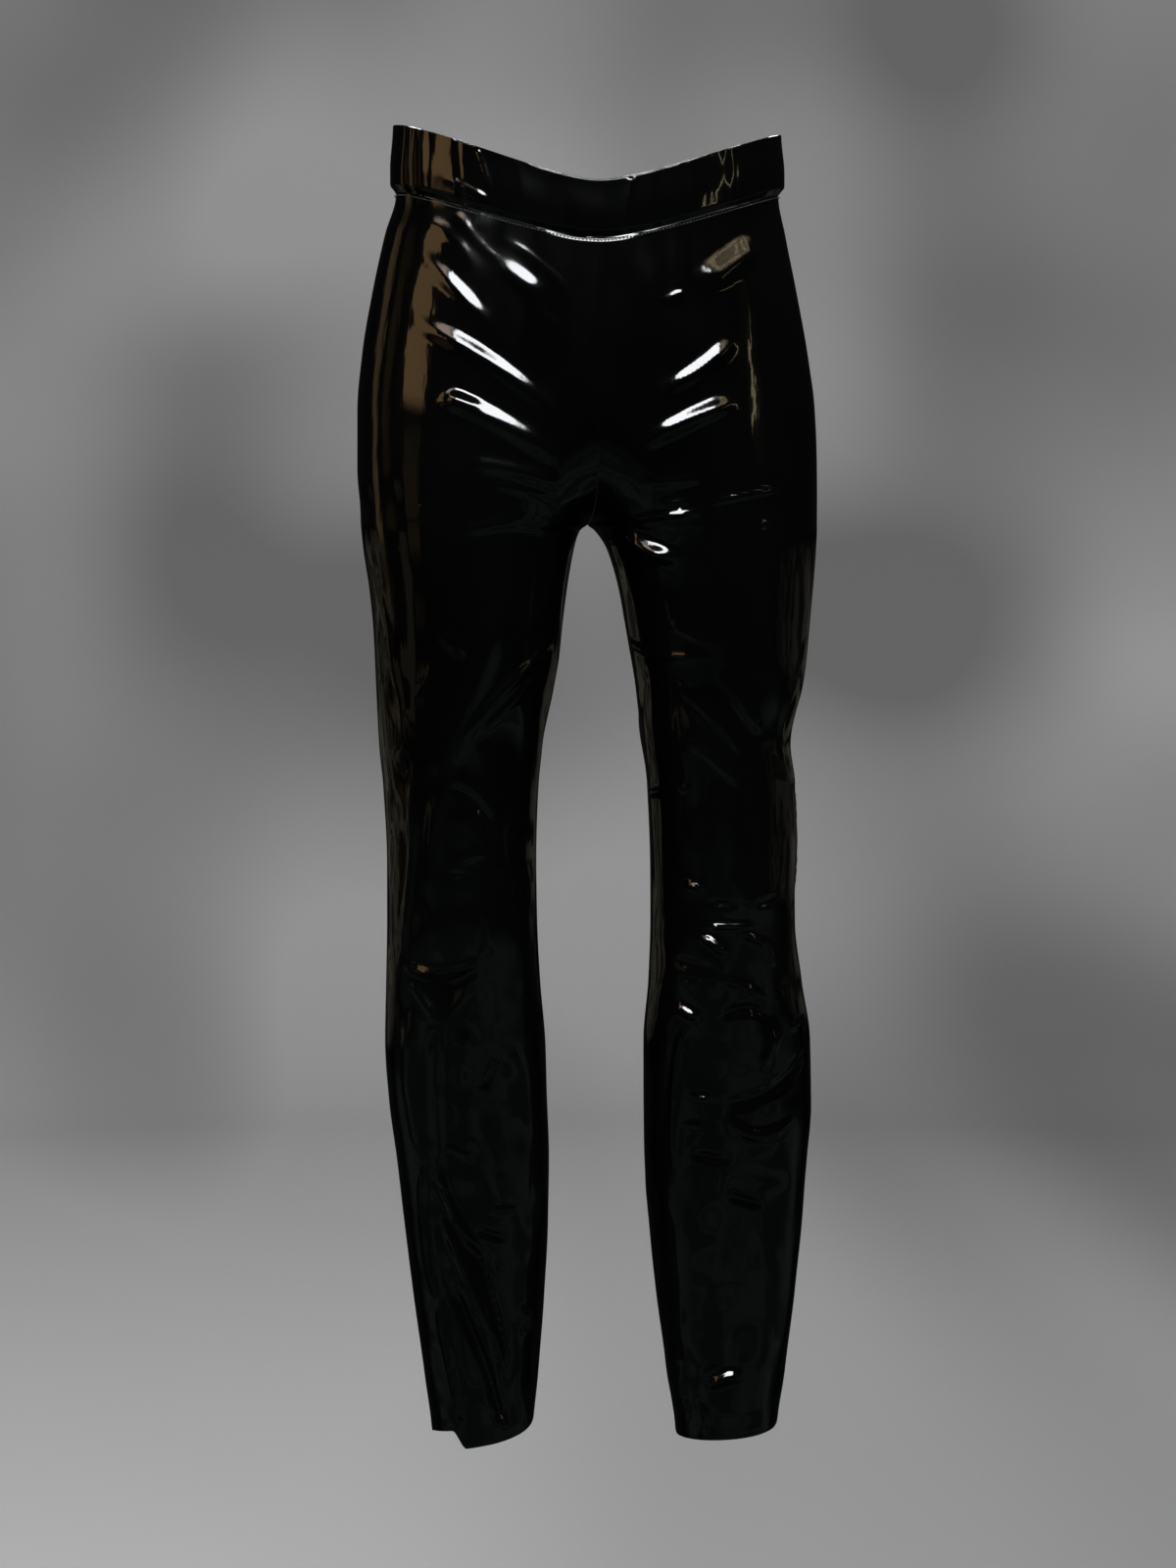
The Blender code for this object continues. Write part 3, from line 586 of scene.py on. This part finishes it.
def fitted_waist(face, side, u):
    return leg_points(face, side, u, np.array([WAIST_SIDE]))[0]


# --- materials --------------------------------------------------------------------------------


def node(tree, kind, **sockets):
    n = tree.nodes.new(kind)
    for key, value in sockets.items():
        if hasattr(n, key):
            setattr(n, key, value)
        else:
            n.inputs[key.replace("_", " ")].default_value = value
    return n


def patent_leather():
    m = bpy.data.materials.new("patent_leather")
    m.use_nodes = True
    t = m.node_tree
    link = t.links.new
    p = t.nodes["Principled BSDF"]
    p.inputs["Metallic"].default_value = 0.0
    p.inputs["IOR"].default_value = 1.52
    p.inputs["Specular IOR Level"].default_value = 0.10
    p.inputs["Coat Weight"].default_value = 1.0
    p.inputs["Coat Roughness"].default_value = 0.025
    p.inputs["Coat IOR"].default_value = 1.5
    place = node(t, "ShaderNodeTexCoord")

    def mapped(scale):
        mp = node(t, "ShaderNodeMapping")
        mp.inputs["Scale"].default_value = scale
        link(place.outputs["Object"], mp.inputs["Vector"])
        return mp.outputs["Vector"]

    cloud = node(t, "ShaderNodeTexNoise", Scale=9.0, Detail=3.0, Roughness=0.55)
    link(mapped((1, 1, 0.6)), cloud.inputs["Vector"])
    tone = node(t, "ShaderNodeValToRGB")
    tone.color_ramp.elements[0].position, tone.color_ramp.elements[1].position = 0.35, 0.70
    tone.color_ramp.elements[0].color = (0.0007, 0.0007, 0.0007, 1)
    tone.color_ramp.elements[1].color = (0.0013, 0.0015, 0.0014, 1)
    link(cloud.outputs["Fac"], tone.inputs["Fac"])
    link(tone.outputs["Color"], p.inputs["Base Color"])

    smear = node(t, "ShaderNodeTexNoise", Scale=60.0, Detail=2.0)
    link(mapped((1, 1, 0.35)), smear.inputs["Vector"])
    rough = node(t, "ShaderNodeMapRange")
    rough.inputs["From Min"].default_value, rough.inputs["From Max"].default_value = 0.3, 0.7
    rough.inputs["To Min"].default_value, rough.inputs["To Max"].default_value = 0.10, 0.19
    link(smear.outputs["Fac"], rough.inputs["Value"])
    link(rough.outputs["Result"], p.inputs["Roughness"])

    # pulled lengthwise ripples a few millimetres wide, then the coating's faint orange peel
    ripple = node(t, "ShaderNodeTexNoise", Scale=120.0, Detail=2.0, Roughness=0.45)
    link(mapped((1, 1, 0.22)), ripple.inputs["Vector"])
    peel = node(t, "ShaderNodeTexNoise", Scale=620.0, Detail=1.0)
    link(mapped((1, 1, 1)), peel.inputs["Vector"])
    first = node(t, "ShaderNodeBump", Strength=1.0, Distance=0.00022)
    link(ripple.outputs["Fac"], first.inputs["Height"])
    second = node(t, "ShaderNodeBump", Strength=1.0, Distance=0.000012)
    link(peel.outputs["Fac"], second.inputs["Height"])
    link(first.outputs["Normal"], second.inputs["Normal"])
    link(second.outputs["Normal"], p.inputs["Normal"])
    link(second.outputs["Normal"], p.inputs["Coat Normal"])
    return m


def backing():
    """The dull knitted back of the leather, seen down the waist."""
    m = bpy.data.materials.new("leather_backing")
    m.use_nodes = True
    t = m.node_tree
    link = t.links.new
    p = t.nodes["Principled BSDF"]
    p.inputs["Specular IOR Level"].default_value = 0.25
    place = node(t, "ShaderNodeTexCoord")
    knit = node(t, "ShaderNodeTexWave", Scale=420.0, Distortion=2.0, Detail=2.0)
    knit.inputs["Detail Scale"].default_value = 1.5
    link(place.outputs["Object"], knit.inputs["Vector"])
    tone = node(t, "ShaderNodeValToRGB")
    tone.color_ramp.elements[0].color = (0.008, 0.008, 0.009, 1)
    tone.color_ramp.elements[1].color = (0.022, 0.022, 0.024, 1)
    link(knit.outputs["Fac"], tone.inputs["Fac"])
    link(tone.outputs["Color"], p.inputs["Base Color"])
    rough = node(t, "ShaderNodeMapRange")
    rough.inputs["To Min"].default_value, rough.inputs["To Max"].default_value = 0.75, 0.95
    link(knit.outputs["Fac"], rough.inputs["Value"])
    link(rough.outputs["Result"], p.inputs["Roughness"])
    bump = node(t, "ShaderNodeBump", Strength=0.6, Distance=0.0002)
    link(knit.outputs["Fac"], bump.inputs["Height"])
    link(bump.outputs["Normal"], p.inputs["Normal"])
    return m


def thread():
    m = bpy.data.materials.new("waxed_thread")
    m.use_nodes = True
    t = m.node_tree
    link = t.links.new
    p = t.nodes["Principled BSDF"]
    p.inputs["Coat Weight"].default_value = 0.4
    place = node(t, "ShaderNodeTexCoord")
    ply = node(t, "ShaderNodeTexWave", Scale=900.0, Distortion=1.0)
    link(place.outputs["Object"], ply.inputs["Vector"])
    tone = node(t, "ShaderNodeValToRGB")
    tone.color_ramp.elements[0].color = (0.030, 0.030, 0.031, 1)
    tone.color_ramp.elements[1].color = (0.070, 0.068, 0.066, 1)
    link(ply.outputs["Fac"], tone.inputs["Fac"])
    link(tone.outputs["Color"], p.inputs["Base Color"])
    p.inputs["Roughness"].default_value = 0.28
    bump = node(t, "ShaderNodeBump", Strength=0.5, Distance=0.0001)
    link(ply.outputs["Fac"], bump.inputs["Height"])
    link(bump.outputs["Normal"], p.inputs["Normal"])
    return m


# --- stitches ---------------------------------------------------------------------------------

STITCH = {"pitch": 0.0027, "length": 0.0019, "wide": 0.00042, "high": 0.00045, "below": 0.0017}


def stitches(name, line, facing, along, material):
    """Small rounded stitches on the leg panels just under the waistband, all in one mesh."""
    rings, around = 5, 6
    ball = []
    for i in range(rings + 1):
        a = math.pi * i / rings
        for j in range(around):
            b = 2 * math.pi * j / around
            ball.append((math.cos(a), math.sin(a) * math.cos(b), math.sin(a) * math.sin(b)))
    ball = np.array(ball)
    faces = []
    for i in range(rings):
        for j in range(around):
            k = (j + 1) % around
            faces.append((i * around + j, (i + 1) * around + j, (i + 1) * around + k, i * around + k))
    faces = np.array(faces)
    ball[:around] = (1, 0, 0)
    ball[-around:] = (-1, 0, 0)
    verts, quads = [], []
    at = np.arange(along[0] + 0.003, along[-1] - 0.003, STITCH["pitch"])
    for k, a in enumerate(at):
        here = np.array([np.interp(a, along, line[:, i]) for i in range(3)])
        ahead = np.array([np.interp(a + 0.0015, along, line[:, i]) for i in range(3)])
        n = np.array([np.interp(a, along, facing[:, i]) for i in range(3)])
        n[2] = 0
        n /= np.linalg.norm(n)
        way = ahead - here
        way /= np.linalg.norm(way)
        up = np.cross(way, n)
        up *= math.copysign(1, up[2])
        middle = here - up * STITCH["below"] + n * 0.00045
        local = ball * (STITCH["length"] / 2, STITCH["wide"], STITCH["high"])
        verts.append(middle + local[:, :1] * way + local[:, 1:2] * up + local[:, 2:] * n)
        quads.append(faces + k * len(ball))
    verts, quads = np.concatenate(verts), np.concatenate(quads)
    mesh = bpy.data.meshes.new(name)
    mesh.from_pydata(verts.tolist(), [], quads.tolist())
    mesh.update()
    bm = bmesh.new()
    bm.from_mesh(mesh)
    bmesh.ops.remove_doubles(bm, verts=bm.verts, dist=1e-7)
    bmesh.ops.recalc_face_normals(bm, faces=bm.faces)
    bm.to_mesh(mesh)
    bm.free()
    mesh.materials.append(material)
    mesh.shade_smooth()
    obj = bpy.data.objects.new(name, mesh)
    bpy.context.scene.collection.objects.link(obj)
    return obj


# --- making the pieces ------------------------------------------------------------------------

LEATHER_LOOK, BACK_LOOK, THREAD_LOOK = patent_leather(), backing(), thread()
MESHES = {"front": (90, 500), "back": (80, 420)}

for number, face in enumerate(("front", "back")):
    band, line, facing, along = waistband(face, (LEATHER_LOOK, LEATHER_LOOK), 40 + 5 * number)
    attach(band, "root")
    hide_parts("waistband_" + face)
    sewing = stitches("waist_stitches_" + face, line, facing, along, THREAD_LOOK)
    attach(sewing, "root")
    for k, side in enumerate(("right", "left")):
        across, down = MESHES[face]
        panel = leg_panel(face, side, across, down, (LEATHER_LOOK, BACK_LOOK), 11 + 20 * number + 7 * k)
        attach(panel, "root")
        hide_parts(face + "_" + side)

# --- studio -----------------------------------------------------------------------------------

WAIST = (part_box("waistband_front")[0].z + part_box("waistband_front")[1].z) / 2
FOOT = CAD_LO.z
FLOOR = FOOT - 0.50


def room():
    """A round pale floor that curves up into a pale wall, seen but not mirrored in the leather."""
    profile = [(0.0, 0.0), (2.0, 0.0), (3.6, 0.0)]
    profile += [(4.8 + 1.6 * math.sin(a), 1.6 - 1.6 * math.cos(a)) for a in np.linspace(0, math.pi / 2, 24)]
    profile += [(6.4, 4.0), (6.4, 9.0)]
    count = 96
    verts, faces = [(0, 0, FLOOR)], []
    for r, h in profile[1:]:
        verts += [(r * math.cos(2 * math.pi * k / count), r * math.sin(2 * math.pi * k / count), FLOOR + h) for k in range(count)]
    for k in range(count):
        faces.append((0, 1 + k, 1 + (k + 1) % count))
    for i in range(len(profile) - 2):
        a, b = 1 + i * count, 1 + (i + 1) * count
        for k in range(count):
            j = (k + 1) % count
            faces.append((a + k, b + k, b + j, a + j))
    mesh = bpy.data.meshes.new("studio_room")
    mesh.from_pydata(verts, [], faces)
    mesh.update()
    mesh.shade_smooth()
    m = bpy.data.materials.new("studio_paint")
    m.use_nodes = True
    t = m.node_tree
    p = t.nodes["Principled BSDF"]
    p.inputs["Roughness"].default_value = 0.9
    p.inputs["Specular IOR Level"].default_value = 0.1
    place = node(t, "ShaderNodeTexCoord")
    cloud = node(t, "ShaderNodeTexNoise", Scale=1.0, Detail=1.0)
    drawn_out = node(t, "ShaderNodeMapping")
    drawn_out.inputs["Scale"].default_value = (1.0, 0.14, 1.0)
    t.links.new(place.outputs["Object"], drawn_out.inputs["Vector"])
    t.links.new(drawn_out.outputs[0], cloud.inputs["Vector"])
    tone = node(t, "ShaderNodeValToRGB")
    tone.color_ramp.elements[0].position, tone.color_ramp.elements[1].position = 0.33, 0.67
    tone.color_ramp.elements[0].color = (0.16, 0.16, 0.16, 1)
    tone.color_ramp.elements[1].color = (0.36, 0.36, 0.36, 1)
    t.links.new(cloud.outputs["Fac"], tone.inputs["Fac"])
    t.links.new(tone.outputs["Color"], p.inputs["Base Color"])
    mesh.materials.append(m)
    obj = bpy.data.objects.new("studio_room", mesh)
    bpy.context.scene.collection.objects.link(obj)
    obj.visible_glossy = False
    obj.visible_shadow = False
    return obj


def softbox(name, azimuths, elevations, radiance, colour, soft=(0.25, 0.25), aim=-0.20, distance=2.4, lean=0.0, mottle=None):
    """A curved light panel round the height aim, from one azimuth and elevation to another, in
    degrees. Its glow dies out softly over the share soft of its width and height at each edge.
    lean turns its top end further round than its lower end. mottle is how many soft patches it has
    across and up, and the share of its glow left in the dark ones."""
    verts, faces, uvs = [], [], []
    n, m = 12, 6
    for j in range(m + 1):
        for i in range(n + 1):
            a = math.radians(azimuths[0] + (azimuths[1] - azimuths[0]) * i / n + lean * (j / m - 0.5))
            e = math.radians(elevations[0] + (elevations[1] - elevations[0]) * j / m)
            verts.append((distance * math.sin(a) * math.cos(e), -distance * math.cos(a) * math.cos(e), aim + distance * math.sin(e)))
            uvs.append((i / n, j / m))
    for j in range(m):
        for i in range(n):
            k = j * (n + 1) + i
            faces.append((k, k + 1, k + n + 2, k + n + 1))
    mesh = bpy.data.meshes.new(name)
    mesh.from_pydata(verts, [], faces)
    mesh.update()
    uv = mesh.uv_layers.new(name="UVMap")
    for loop, corner in zip(uv.data, mesh.loops):
        loop.uv = uvs[corner.vertex_index]
    m = bpy.data.materials.new(name)
    m.use_nodes = True
    t = m.node_tree
    t.nodes.clear()
    out = node(t, "ShaderNodeOutputMaterial")
    glow = node(t, "ShaderNodeEmission")
    glow.inputs["Color"].default_value = (*colour, 1)
    place = node(t, "ShaderNodeTexCoord")
    parts = node(t, "ShaderNodeSeparateXYZ")
    t.links.new(place.outputs["UV"], parts.inputs["Vector"])
    shares = []
    for axis, fade in zip("XY", soft):
        away = node(t, "ShaderNodeMath", operation="SUBTRACT")
        away.inputs[1].default_value = 0.5
        t.links.new(parts.outputs[axis], away.inputs[0])
        size = node(t, "ShaderNodeMath", operation="ABSOLUTE")
        t.links.new(away.outputs[0], size.inputs[0])
        fall = node(t, "ShaderNodeMapRange", interpolation_type="SMOOTHSTEP")
        fall.inputs["From Min"].default_value, fall.inputs["From Max"].default_value = 0.5 - max(fade, 0.001), 0.5
        fall.inputs["To Min"].default_value, fall.inputs["To Max"].default_value = 1.0, 0.0
        t.links.new(size.outputs[0], fall.inputs["Value"])
        shares.append(fall.outputs["Result"])
    both = node(t, "ShaderNodeMath", operation="MULTIPLY")
    t.links.new(shares[0], both.inputs[0])
    t.links.new(shares[1], both.inputs[1])
    if mottle:
        stretch = node(t, "ShaderNodeMapping")
        stretch.inputs["Scale"].default_value = (mottle[0], mottle[1], 1)
        t.links.new(place.outputs["UV"], stretch.inputs["Vector"])
        cloud = node(t, "ShaderNodeTexNoise")
        cloud.inputs["Scale"].default_value = 1.0
        cloud.inputs["Detail"].default_value = 2.0
        cloud.inputs["Roughness"].default_value = 0.55
        cloud.inputs["Distortion"].default_value = 0.6
        t.links.new(stretch.outputs[0], cloud.inputs["Vector"])
        level = node(t, "ShaderNodeMapRange", interpolation_type="SMOOTHSTEP")
        level.inputs["From Min"].default_value, level.inputs["From Max"].default_value = 0.40, 0.58
        level.inputs["To Min"].default_value, level.inputs["To Max"].default_value = mottle[2], 1.0
        t.links.new(cloud.outputs[0], level.inputs["Value"])
        patchy = node(t, "ShaderNodeMath", operation="MULTIPLY")
        t.links.new(both.outputs[0], patchy.inputs[0])
        t.links.new(level.outputs["Result"], patchy.inputs[1])
        both = patchy
    strength = node(t, "ShaderNodeMath", operation="MULTIPLY")
    strength.inputs[1].default_value = radiance
    t.links.new(both.outputs[0], strength.inputs[0])
    t.links.new(strength.outputs[0], glow.inputs["Strength"])
    t.links.new(glow.outputs[0], out.inputs["Surface"])
    mesh.materials.append(m)
    obj = bpy.data.objects.new(name, mesh)
    bpy.context.scene.collection.objects.link(obj)
    obj.visible_camera = False
    obj.visible_diffuse = False
    obj.visible_shadow = False
    return obj


def wash(name, place, aim, size, power):
    """A soft lamp for the room alone, kept out of the leather's reflections."""
    light = bpy.data.lights.new(name, "AREA")
    light.shape = "SQUARE"
    light.size = size
    light.energy = power
    obj = bpy.data.objects.new(name, light)
    bpy.context.scene.collection.objects.link(obj)
    obj.location = place
    way = Vector(aim) - Vector(place)
    obj.rotation_mode = "QUATERNION"
    obj.rotation_quaternion = way.to_track_quat("-Z", "Y")
    obj.visible_glossy = False
    return obj


room()
wash("wash_top", (0, -1.0, 5.0), (0, 0.5, FLOOR), 4.0, 520)
wash("wash_front", (0, -5.5, 2.5), (0, 4.0, -0.5), 3.0, 280)
softbox("key_top", (-42, 31), (30, 48), 20.0, (0.96, 0.98, 1.0), soft=(0.07, 0.22))
softbox("pink_left", (-78, -38), (33, 48), 4.0, (1.0, 0.80, 0.66), soft=(0.25, 0.25))
softbox("warm_left", (-77, -60), (7, 31), 1.15, (1.0, 0.62, 0.28), soft=(0.10, 0.20))
softbox("warm_tail", (-76, -61), (-14, 8), 0.10, (1.0, 0.74, 0.46), soft=(0.15, 0.35))
softbox("warm_far_left", (-123, -110), (-16, 32), 0.24, (1.0, 0.70, 0.36), soft=(0.35, 0.30))
softbox("warm_side_left", (-106, -86), (-8, 30), 0.08, (1.0, 0.66, 0.34), soft=(0.30, 0.35))
softbox("grey_bar_left", (-91, -77), (-18, -2), 0.09, (1.0, 0.86, 0.62), soft=(0.25, 0.25))
softbox("grey_left", (-165, -104), (-20, -3), 0.085, (1.0, 0.90, 0.72), soft=(0.20, 0.25), mottle=(14, 5, 0.12))
softbox("grey_right", (66, 168), (-17, -2), 0.045, (1.0, 0.94, 0.80), soft=(0.20, 0.30), mottle=(14, 5, 0.10))
softbox("strip_right", (57.2, 59.8), (3, 21), 2.0, (1.0, 0.86, 0.50), soft=(0.30, 0.25), lean=14.5)
softbox("key_back", (148, 214), (24, 48), 9.0, (0.96, 0.98, 1.0), soft=(0.20, 0.25))
softbox("tan_right", (25, 88), (30, 50), 2.3, (1.0, 0.82, 0.52), soft=(0.20, 0.32), mottle=(7, 7, 0.35))
softbox("low_fill", (-128, 122), (-62, -7), 0.070, (0.74, 1.0, 0.91), soft=(0.10, 0.20), aim=-0.60, mottle=(4, 9, 0.35))

world = bpy.context.scene.world or bpy.data.worlds.new("studio_air")
bpy.context.scene.world = world
world.use_nodes = True
world.node_tree.nodes["Background"].inputs["Color"].default_value = (0.90, 1.0, 0.97, 1)
world.node_tree.nodes["Background"].inputs["Strength"].default_value = 0.004

# --- camera -----------------------------------------------------------------------------------

YAW, PITCH, AWAY, EYE = math.radians(5.3), math.radians(3.96), 3.0, -0.25
data = bpy.data.cameras.new("camera")
data.sensor_width = 36.0
data.lens = 90.0
data.clip_end = 50
camera = bpy.data.objects.new("camera", data)
bpy.context.scene.collection.objects.link(camera)
camera.location = (-AWAY * math.sin(YAW), -AWAY * math.cos(YAW), EYE)
camera.rotation_euler = (math.pi / 2 - PITCH, 0, -YAW)
bpy.context.scene.camera = camera

bpy.context.scene.view_settings.view_transform = "Standard"
